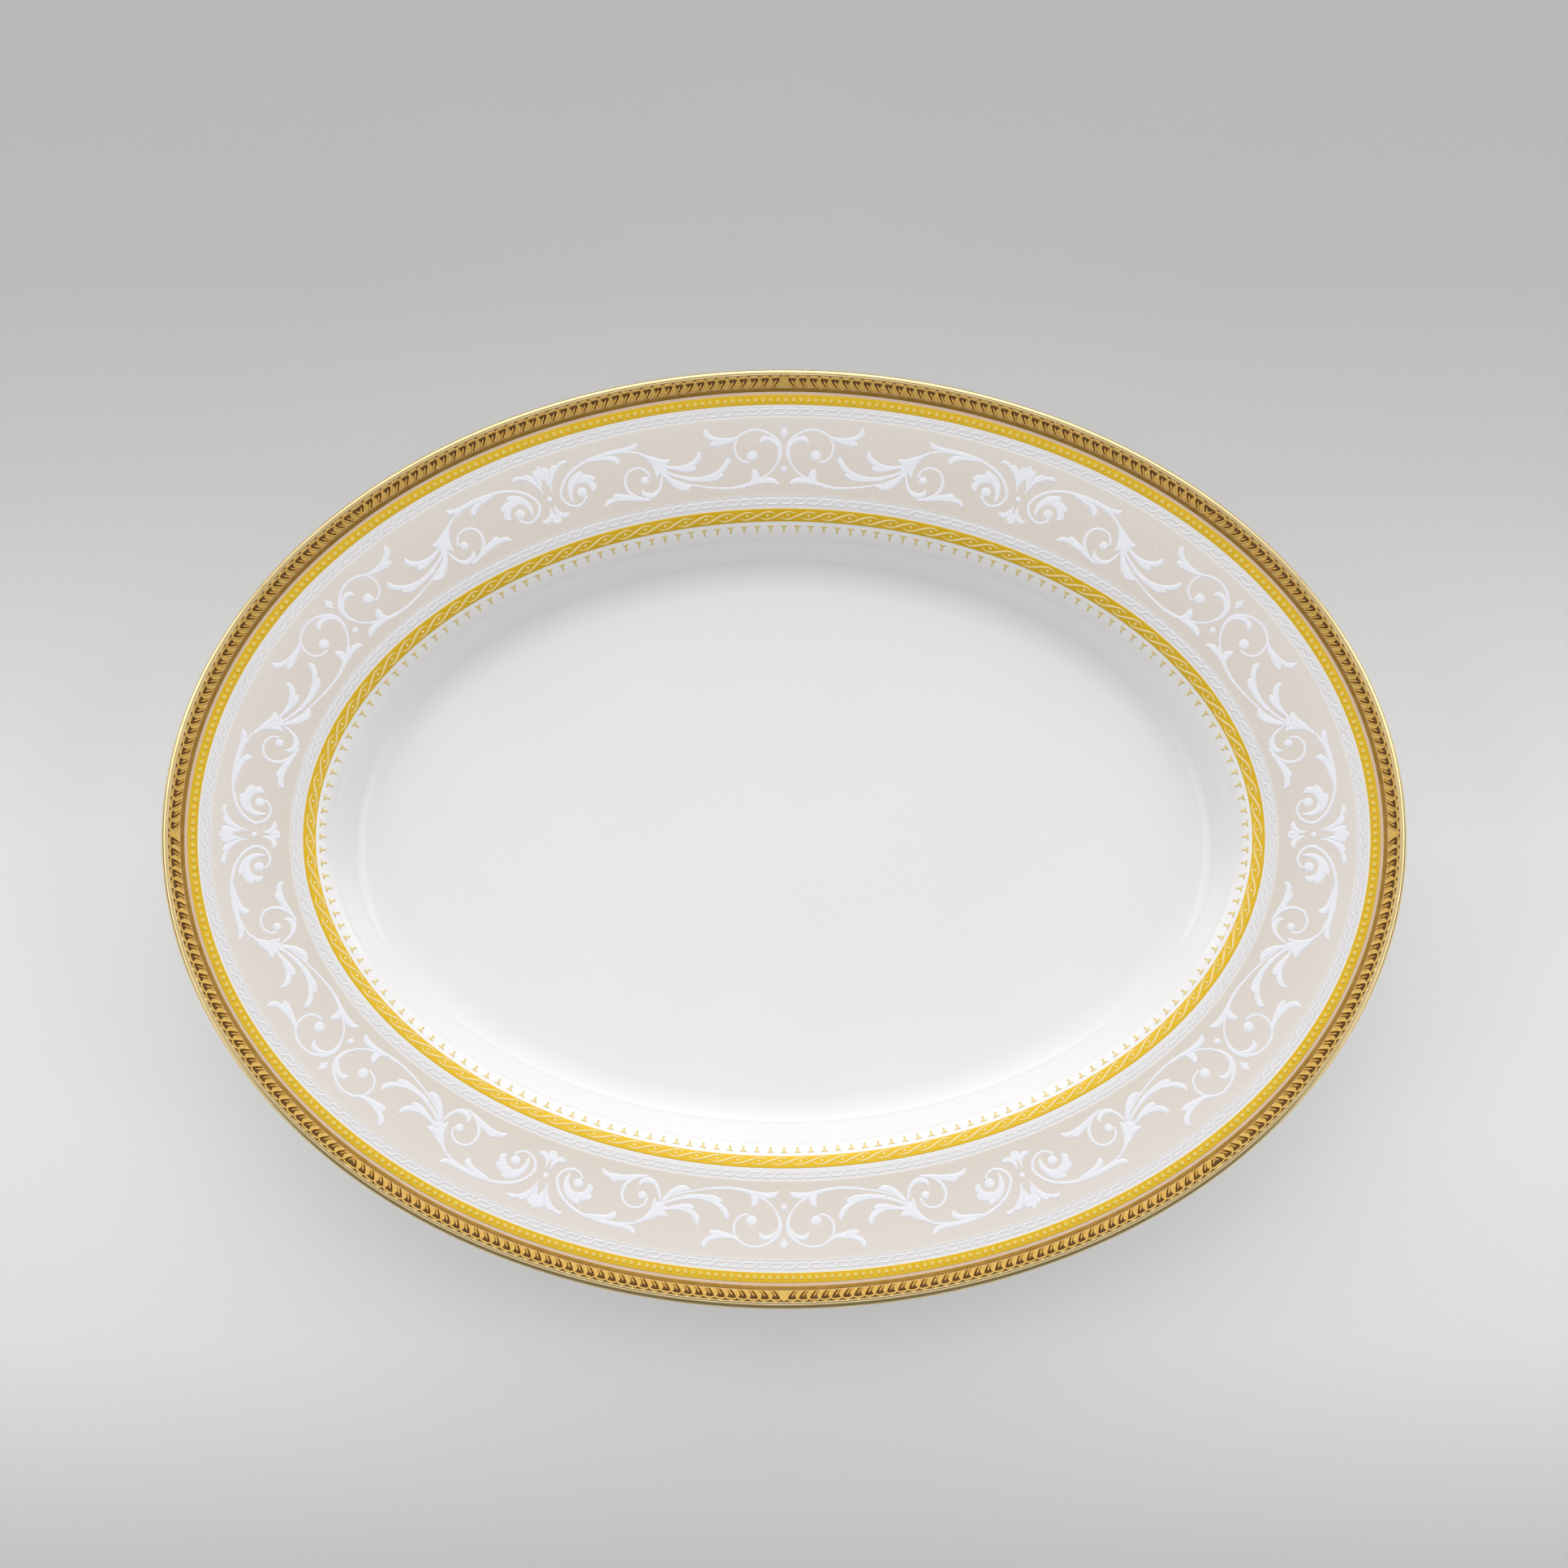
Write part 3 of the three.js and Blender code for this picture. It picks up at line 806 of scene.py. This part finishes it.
def make_plait(flat, bright):
    """The plaited gold band: crossing strands round a row of dots."""
    relief = Relief()
    add_band(relief, PLAIT_BAND, height=0.12, steps=8)
    walk = Walk(PLAIT_MIDDLE)
    pitch = walk.total / PLAIT_EYES
    rise = 1.0
    # A strand's points, as in a chain
    strand = [(-0.08, -0.5 * rise, 0.1), (0.1, -0.9 * rise, 0.18), (0.3, -rise, 0.22),
              (0.52, -0.66 * rise, 0.28), (0.8, 0.0, 0.33), (1.08, 0.66 * rise, 0.28),
              (1.3, rise, 0.22), (1.5, 0.9 * rise, 0.18), (1.68, 0.5 * rise, 0.1)]
    motif = Relief()
    spine = [(u * pitch, PLAIT_MIDDLE + v, w) for u, v, w in strand]
    add_stem(motif, spine, crown=0.18, steps=26, base=0.1, across=6, finish=1)
    dot = 0.3 * pitch
    add_dome(motif, dot, PLAIT_MIDDLE, radius=0.42, crown=0.2, base=0.1, sides=14, rings=4, finish=1)
    lay_round(relief, motif, walk, np.arange(PLAIT_EYES) * pitch)
    make_piece("plait_fine", "guilloche_band_gold", relief, [flat, bright])


def make_fringe(material):
    """A row of small fans that point inward from the plait, each tipped with a ball."""
    walk = Walk(FRINGE_DEPTH)
    pitch = walk.total / DROPS
    foot = FRINGE_DEPTH + 0.75
    motif = Relief()
    left = [(-1.15, foot), (-0.75, foot + 0.35), (-0.32, foot + 0.7), (-0.22, foot + 1.1)]
    right = [(1.15, foot), (0.75, foot + 0.35), (0.32, foot + 0.7), (0.22, foot + 1.1)]
    fan = [smooth_curve(edge, 8) for edge in (left, right)]
    add_ridge(motif, *fan, np.full(9, 0.12), across=4)
    add_dome(motif, 0, foot + 1.4, radius=0.38, crown=0.16, sides=12, rings=4)
    relief = Relief()
    lay_round(relief, motif, walk, np.arange(DROPS) * pitch)
    make_piece("fringe_fine", "drop_fringe_gold", relief, [material])


# ---- White scrolls -----------------------------------------------------------------

def add_stems_of_scroll(motif):
    """The three stems of half a scroll, from its leaf sheath to their balls."""
    long_stem = [
        (35, 28, 0.25), (30, 30.6, 0.25), (25, 32.2, 0.28), (20, 33.2, 0.34), (15, 33.5, 0.38),
        (11, 32.9, 0.5), (7.5, 31.6, 0.45), (4.5, 29.9, 0.3), (2.3, 27.4, 0.3), (1.15, 24.5, 0.5),
        (1.3, 22, 0.6), (2.2, 20.2, 0.52), (4.2, 18.4, 0.4), (6.5, 17.4, 0.36), (8.7, 17.2, 0.35),
        (11, 17.8, 0.35), (12.8, 19, 0.35), (13.9, 20.9, 0.34), (14.1, 23, 0.33), (13.3, 25, 0.33),
        (11.8, 26.1, 0.33), (10, 26.4, 0.3),
    ]
    low_stem = [
        (40.5, 33.8, 0.2), (43, 33.2, 0.4), (45, 32, 0.45), (46.5, 30.3, 0.45), (47.1, 28.2, 0.42),
        (46.6, 26, 0.38), (45.2, 24.6, 0.35), (43.3, 24.1, 0.33), (41.3, 24.6, 0.32), (40, 26, 0.3),
        (39.7, 27.6, 0.3),
    ]
    high_stem = [
        (40, 20.7, 0.25), (42.5, 19.6, 0.3), (45, 18.9, 0.32), (47.5, 18.5, 0.34), (51, 18.2, 0.36),
        (55, 18.4, 0.38), (58, 19.1, 0.4), (61, 20.3, 0.4), (63.5, 22, 0.4), (65.4, 24.3, 0.4),
        (66.2, 26.4, 0.4), (65.6, 28.4, 0.38), (64, 29.8, 0.36), (62, 30.3, 0.34), (60.2, 29.6, 0.32),
        (59, 28.2, 0.3),
    ]
    for spine, steps in ((long_stem, 110), (low_stem, 50), (high_stem, 80)):
        add_stem(motif, [(a, d, w * STEM_WEIGHT) for a, d, w in spine], ENAMEL_CROWN, steps=steps)
    for along, depth, radius in ((9.2, 24.6, 1.55), (41.2, 28.1, 1.25), (60, 26.9, 1.45)):
        add_dome(motif, along, depth, radius, BALL_CROWN, sides=24, rings=7)


# Leaves of half a scroll, each by its two edges. They run from stem to tip.
JUNCTION_LEAVES = [
    ([(1.5, 22.5), (2.6, 20.3), (4.5, 19.2), (6.2, 19.3), (6.9, 20.3), (6.9, 21.4)],
     [(1.5, 22.5), (2.4, 21.7), (3.6, 20.8), (5.2, 20.5), (6.3, 20.8), (6.9, 21.4)]),
    ([(11.5, 18), (13.5, 18.95), (16, 19.15), (18.5, 18.8), (20.3, 18), (21.4, 16.8), (21.9, 15.5)],
     [(11.5, 18), (13.2, 19.5), (16, 20), (19, 19.8), (21.6, 18.9), (22.6, 17.3), (21.9, 15.5)]),
    ([(12.5, 18.9), (16, 19.3), (19, 19.4), (20.6, 19.9), (21.1, 20.8)],
     [(12.5, 18.9), (14.5, 20.2), (17, 20.9), (19.5, 21.35), (21.1, 20.8)]),
    ([(11.5, 32.8), (8.5, 31.9), (6, 31.2), (4, 31), (2.4, 31.7), (1.55, 33.2)],
     [(11.5, 33.3), (9, 33), (6.5, 32.75), (4, 32.75), (2.6, 32.85), (1.55, 33.2)]),
    ([(8.5, 32.3), (7.4, 31.2), (7.4, 29.9), (8.2, 28.9), (9.25, 28.45)],
     [(12, 33.2), (10, 31.9), (9.45, 30.6), (9.45, 29.4), (9.25, 28.45)]),
]
SHEATH_LEAVES = [
    ([(35.5, 24.6), (33, 25.3), (30, 25.6), (27.6, 25.1), (25.7, 23.9), (24.9, 22.8), (24.6, 21.8)],
     [(35.5, 25.4), (32.5, 26.2), (29.5, 26.7), (26.8, 26.4), (24.6, 25), (24, 23.4), (24.6, 21.8)]),
    ([(33, 25.8), (30, 26.2), (27.5, 26.1), (26.4, 26.2), (25.7, 27.1)],
     [(33, 26.1), (31, 26.9), (28.8, 27.6), (27.2, 27.75), (25.7, 27.1)]),
    ([(35, 26.3), (32, 27.9), (29, 28.9), (25.5, 29.5), (22.5, 29.2), (19.8, 28.2), (17.9, 26.7),
      (16.3, 24.2)],
     [(35, 27), (32, 28.7), (29, 29.9), (25.5, 30.5), (22, 30.3), (19, 29.3), (16.6, 27.4),
      (15.6, 25.6), (16.3, 24.2)]),
    ([(30, 29.4), (25, 30), (21, 29.7), (18.6, 29), (18, 29.8)],
     [(30, 29.8), (26, 30.7), (22.5, 31), (19.8, 30.8), (18, 29.8)]),
    ([(34.8, 27.2), (33.2, 28.8), (31.2, 30.3), (29.4, 31.3), (27.6, 31.8)],
     [(35.8, 27.2), (34.6, 29.3), (33.2, 31.2), (31.2, 32.6), (29.4, 32.9), (27.6, 31.8)]),
    ([(41.5, 20.1), (39.3, 21.1), (37.2, 21.9), (35.2, 23.1), (34.2, 25.2), (34.6, 27.6)],
     [(41.5, 20.3), (39.9, 21.6), (38.9, 23.2), (38.1, 25), (37, 26.8), (34.6, 27.6)]),
    ([(37, 22.2), (35.3, 22.9), (34.2, 23.2), (33, 23.4)],
     [(36.5, 24.5), (35, 25), (33.8, 24.4), (33, 23.4)]),
    ([(37.4, 24.8), (36.8, 26.2), (36.9, 27), (37.7, 27.9)],
     [(38.3, 24.4), (37.9, 25.8), (37.7, 26.8), (37.7, 27.9)]),
    ([(35.9, 27), (36.1, 29.2), (37.1, 31.5), (38.9, 33.2), (41.2, 33.3), (42.8, 32), (42.6, 30.1)],
     [(35.9, 27), (36.9, 29.4), (38.2, 31.3), (40, 31.9), (41.4, 31.6), (42.2, 31), (42.6, 30.1)]),
]
PALMETTE_SIDE_LEAVES = [
    ([(40.5, 33.8), (43.5, 32.6), (46.2, 31.4), (48.6, 30.5), (50.6, 29.9), (51.7, 30.6)],
     [(40.5, 33.9), (43.8, 33.5), (47, 32.8), (49.5, 32.3), (51.2, 31.8), (51.7, 30.6)]),
    ([(46, 32.2), (49.5, 31.4), (52, 30.9), (53.7, 31.3), (54.7, 33)],
     [(46, 32.8), (49, 32.4), (51.5, 32.25), (53.2, 32.5), (54.7, 33)]),
    ([(57, 18.7), (53.5, 17.9), (50, 17.55), (46.5, 17.6), (43.4, 17.45), (42, 17), (41, 16.6)],
     [(57, 18.9), (53, 19), (49.5, 18.9), (46.5, 18.9), (43.4, 18.9), (41.7, 18.2), (41, 16.6)]),
    ([(53, 18.7), (50, 18.8), (48.2, 19.4), (47.2, 20.6), (47.95, 22.2)],
     [(56, 19.1), (53, 19.7), (50.3, 20.3), (48.8, 21.1), (47.95, 22.2)]),
    ([(63.3, 29.3), (64, 26.8), (63.5, 24.2), (62.2, 22.2), (60.2, 21.2), (58.2, 21)],
     [(63.3, 29.3), (62.9, 26.8), (61.9, 25), (60.3, 24.2), (58.8, 23.6), (58.2, 21)]),
    ([(61, 22.6), (59, 22), (57, 22.4), (55.7, 23.3), (55.2, 24.3)],
     [(61, 24.2), (59.5, 24.3), (57.8, 25), (56.4, 25), (55.2, 24.3)]),
    ([(59.5, 23.8), (57, 24), (55.7, 25.2), (55.4, 26.4), (57, 27.8)],
     [(60, 24.3), (58.5, 24.6), (57.5, 25.7), (57.1, 26.8), (57, 27.8)]),
]
# Leaves of half a palmette, about its own middle
PALMETTE_LEAVES = [
    ([(-1.2, 24.5), (-1.9, 22.2), (-3.2, 20), (-4.8, 18.4), (-6.4, 17.7), (-8.1, 17.5)],
     [(-1.2, 24.5), (-1.5, 21.8), (-2.6, 19.6), (-4.6, 17.7), (-6.4, 16.7), (-7.4, 16.7), (-8.1, 17.5)]),
    ([(-1.3, 23.5), (-2.3, 20.8), (-3.6, 18.8), (-4.9, 17.6), (-4.2, 16.9)],
     [(-1.3, 23.5), (-1.6, 21.5), (-2.2, 19.4), (-2.9, 17.7), (-4.2, 16.9)]),
    ([(0, 20.4), (-0.9, 18.4), (-0.7, 16.9), (0, 15.75)],
     [(0, 20.4), (0, 18.9), (0, 17.4), (0, 15.75)]),
    ([(-1.1, 22.5), (-1.7, 20), (-2.3, 18.2), (-2.1, 17.2), (-1.3, 16.7)],
     [(-1.1, 22.5), (-0.5, 20.4), (-0.1, 18.4), (-0.5, 17.2), (-1.3, 16.7)]),
    ([(-0.8, 27.9), (-1.2, 29.6), (-2.2, 30.7), (-4.4, 31.5)],
     [(-0.8, 27.9), (-0.4, 30.2), (-1.2, 31.6), (-2.6, 32.4), (-3.6, 32.2), (-4.4, 31.5)]),
    ([(0, 30.3), (-1.2, 31.4), (-1.3, 32.6), (0, 33.5)],
     [(0, 30.3), (0, 31.3), (0, 32.4), (0, 33.5)]),
]


def scroll_motif():
    """Half a scroll: three stems and the leaves that grow from them."""
    motif = Relief()
    add_stems_of_scroll(motif)
    for edge, other_edge in JUNCTION_LEAVES + SHEATH_LEAVES + PALMETTE_SIDE_LEAVES:
        add_leaf(motif, edge, other_edge, ENAMEL_CROWN)
    return motif


def palmette_motif():
    """A palmette: a dot between two mirrored sets of leaves."""
    motif = Relief()
    add_dome(motif, 0, 26, radius=0.85, crown=DOT_CROWN, sides=20, rings=6)
    for edge, other_edge in PALMETTE_LEAVES:
        for side in (-1, 1):
            flipped = [np.array(points) * (side, 1) for points in (edge, other_edge)]
            add_leaf(motif, *flipped, ENAMEL_CROWN)
    return motif


def diamond_motif():
    """A small four-pointed star with hollow sides."""
    motif = Relief()
    half = [(0, 16.3), (0.5, 17.35), (1.15, 18.1), (0.5, 18.85), (0, 20)]
    other_half = [(-along, depth) for along, depth in half]
    add_leaf(motif, half, other_half, ENAMEL_CROWN)
    return motif


def dot_motif():
    """The dot where two scrolls meet."""
    motif = Relief()
    add_dome(motif, 0, 28.6, radius=0.95, crown=DOT_CROWN, sides=20, rings=6)
    return motif


def make_ornament(material):
    """Twelve half scrolls, six palmettes and the diamonds and dots between them."""
    walk = Walk(ORNAMENT_DEPTH)
    half_unit = walk.total / HALF_UNITS
    scroll = scroll_motif()
    for i in range(HALF_UNITS):
        towards_palmette = i % 2 == 1
        junction = (i if towards_palmette else i + 1) * half_unit
        make_copy("scroll", i, scroll, walk, junction, material, mirrored=not towards_palmette)
    for name, motif, offset in (("palmette", palmette_motif(), 0),
                                ("junction_diamond", diamond_motif(), 1),
                                ("junction_dot", dot_motif(), 1)):
        for i in range(HALF_UNITS // 2):
            make_copy(name, i, motif, walk, (2 * i + offset) * half_unit, material)


def make_copy(name, index, motif, walk, along, material, mirrored=False):
    """One copy of an enamel motif, as a piece of its own."""
    relief = Relief()
    lay_round(relief, motif, walk, [along], mirrored)
    node = f"{name}_{index + 1}"
    make_piece(f"{node}_fine", node, relief, [material])


# ---- Stage, lights and camera --------------------------------------------------------

# Camera: its angle above the floor, and how much it sees across at the platter
PHOTO_ELEVATION = 82
CAMERA_DISTANCE = 1550 * MM
VIEW_WIDTH = 448.6 * MM
VIEW_RISE = 14.2 * MM
SENSOR = 36

# Lights, in metres, degrees and watts
LIGHT_DISTANCE = 2.05
LIGHT_SIZE = 1.1
KEY_ELEVATION = 65
KEY_POWER = 1
OVERHEAD_POWER = 10.7

# Floor, in metres, and its grey from the platter's near side to its far side: painted light and shade,
# brightest across the middle, lifted where the platter's shadow falls on its near side, and darker towards
# the near and far ends
FLOOR_REACH = 6
PAINTED_LIGHT_REACH = 0.24
PAINTED_LIGHT_TONES = [(0.05, 0.55), (0.2, 0.79), (0.33, 0.85), (0.5, 0.84), (0.72, 0.6), (0.85, 0.52), (1.0, 0.5)]


def make_ramp(tree, value, stops):
    """A grey ramp over a value from 0 to 1."""
    ramp = tree.nodes.new("ShaderNodeValToRGB")
    tree.links.new(value, ramp.inputs["Fac"])
    for place, level in stops[1:-1]:
        ramp.color_ramp.elements.new(place)
    for element, (place, level) in zip(ramp.color_ramp.elements, stops):
        element.position = place
        element.color = (level, level, level, 1)
    return ramp.outputs["Color"]


def make_stage():
    """A pale floor of paper with a faint grain, its grey painted with light and shade from the near side
    to the far side.
    """
    finish = Finish("floor_painted_light", (0.72, 0.72, 0.715), 0.75)
    split = finish.tree.nodes.new("ShaderNodeSeparateXYZ")
    finish.link(finish.place, split.inputs["Vector"])
    across = finish.spread(split.outputs["Y"], 0, 1, -PAINTED_LIGHT_REACH, PAINTED_LIGHT_REACH)
    # Painted light and shade: the grey ramps from dark near by, to bright across the middle, to darkest
    # far off
    painted_light = make_ramp(finish.tree, across, PAINTED_LIGHT_TONES)
    fleck = finish.spread(finish.noise(120), 0, 0.06)
    finish.colour(finish.blend(fleck, painted_light, (0.6, 0.6, 0.59)))
    finish.uneven(40, 0.7, 0.8)
    finish.bump([(finish.noise(1.0), 0.01)])
    mesh = bpy.data.meshes.new("floor")
    corners = [(FLOOR_REACH * x, FLOOR_REACH * y, 0) for x, y in ((-1, -1), (1, -1), (1, 1), (-1, 1))]
    mesh.from_pydata(corners, [], [(0, 1, 2, 3)])
    mesh.materials.append(finish.material)
    floor = bpy.data.objects.new("floor", mesh)
    bpy.context.scene.collection.objects.link(floor)


def make_light(name, elevation, power, shadow):
    """A soft square light above or on the far side, turned to the platter and unseen in its gloss."""
    light = bpy.data.lights.new(name, "AREA")
    light.size = LIGHT_SIZE
    light.energy = power
    light.use_shadow = shadow
    thing = bpy.data.objects.new(name, light)
    lean = math.radians(elevation)
    thing.location = (0, LIGHT_DISTANCE * math.cos(lean), LIGHT_DISTANCE * math.sin(lean))
    thing.rotation_euler = (math.radians(elevation - 90), 0, 0)
    thing.visible_glossy = False
    bpy.context.scene.collection.objects.link(thing)


# Brightness of the surroundings from the near side to the far side, low down and high up
LOW_SKY = [(0.0, 0.15), (0.3, 0.2), (0.5, 0.17), (0.7, 0.35), (0.8, 0.6), (0.88, 1.2), (1.0, 2.3)]
HIGH_SKY = [(0.0, 0.2), (0.3, 0.35), (0.5, 0.58), (0.7, 0.8), (0.85, 0.88), (1.0, 0.95)]
# Heights of the sky between which the first list gives way to the second
LOW_END = 0.3
HIGH_END = 0.8
# How much brighter it gets from the middle out to the platter's two ends, where a strip glows
END_GAINS = [(0.0, 1.0), (0.72, 1.0), (0.8, 4.2), (0.92, 4.2), (0.97, 0.8), (1.0, 0.8)]


def make_world():
    """Soft surroundings: bright low on the far side and in a strip at each end, dim near by."""
    world = bpy.data.worlds.new("studio")
    world.use_nodes = True
    tree = world.node_tree
    place = tree.nodes.new("ShaderNodeTexCoord")
    split = tree.nodes.new("ShaderNodeSeparateXYZ")
    tree.links.new(place.outputs["Generated"], split.inputs["Vector"])
    side = tree.nodes.new("ShaderNodeMapRange")
    side.inputs["From Min"].default_value = -1
    tree.links.new(split.outputs["Y"], side.inputs["Value"])
    height = tree.nodes.new("ShaderNodeMapRange")
    height.inputs["From Min"].default_value = LOW_END
    height.inputs["From Max"].default_value = HIGH_END
    tree.links.new(split.outputs["Z"], height.inputs["Value"])
    # A vector mix takes its two sides at inputs 4 and 5 and gives its result at output 1
    mix = tree.nodes.new("ShaderNodeMix")
    mix.data_type = "VECTOR"
    tree.links.new(height.outputs["Result"], mix.inputs[0])
    tree.links.new(make_ramp(tree, side.outputs["Result"], LOW_SKY), mix.inputs[4])
    tree.links.new(make_ramp(tree, side.outputs["Result"], HIGH_SKY), mix.inputs[5])
    out = tree.nodes.new("ShaderNodeMath")
    out.operation = "ABSOLUTE"
    tree.links.new(split.outputs["X"], out.inputs[0])
    gain = tree.nodes.new("ShaderNodeVectorMath")
    gain.operation = "MULTIPLY"
    tree.links.new(mix.outputs[1], gain.inputs[0])
    tree.links.new(make_ramp(tree, out.outputs[0], END_GAINS), gain.inputs[1])
    background = tree.nodes["Background"]
    tree.links.new(gain.outputs["Vector"], background.inputs["Color"])
    bpy.context.scene.world = world


def make_camera():
    """Looks down the face, a little from the platter's near side."""
    camera = bpy.data.cameras.new("camera")
    camera.sensor_width = SENSOR
    camera.lens = SENSOR * CAMERA_DISTANCE / VIEW_WIDTH
    thing = bpy.data.objects.new("camera", camera)
    lean = math.radians(PHOTO_ELEVATION)
    target = Vector((0, VIEW_RISE, CREST * MM))
    thing.location = target + CAMERA_DISTANCE * Vector((0, -math.cos(lean), math.sin(lean)))
    thing.rotation_euler = (math.radians(90 - PHOTO_ELEVATION), 0, 0)
    bpy.context.scene.collection.objects.link(thing)
    bpy.context.scene.camera = thing


def main():
    make_camera()
    make_stage()
    make_world()
    make_light("key", KEY_ELEVATION, KEY_POWER, shadow=True)
    make_light("overhead", 90, OVERHEAD_POWER, shadow=False)
    bpy.context.scene.view_settings.view_transform = "Standard"
    enamel = enamel_finish()
    yellow = yellow_gold_finish()
    pale = pale_gold_finish()
    bright = bright_gold_finish()
    make_body(china_finish())
    make_lip(bright)
    make_frieze(etched_gold_finish(), pit_shade_finish())
    make_line(line_gold_painted_shade_finish())
    make_bead_band(yellow, bead_gold_finish())
    make_chain("outer_chain_fine", "outer_chain_relief", OUTER_CHAIN, OUTER_LINKS, enamel)
    make_ground(taupe_finish())
    make_chain("inner_chain_fine", "inner_chain_relief", INNER_CHAIN, INNER_LINKS, enamel)
    make_plait(yellow, pale)
    make_fringe(fringe_gold_finish())
    make_ornament(enamel)


main()
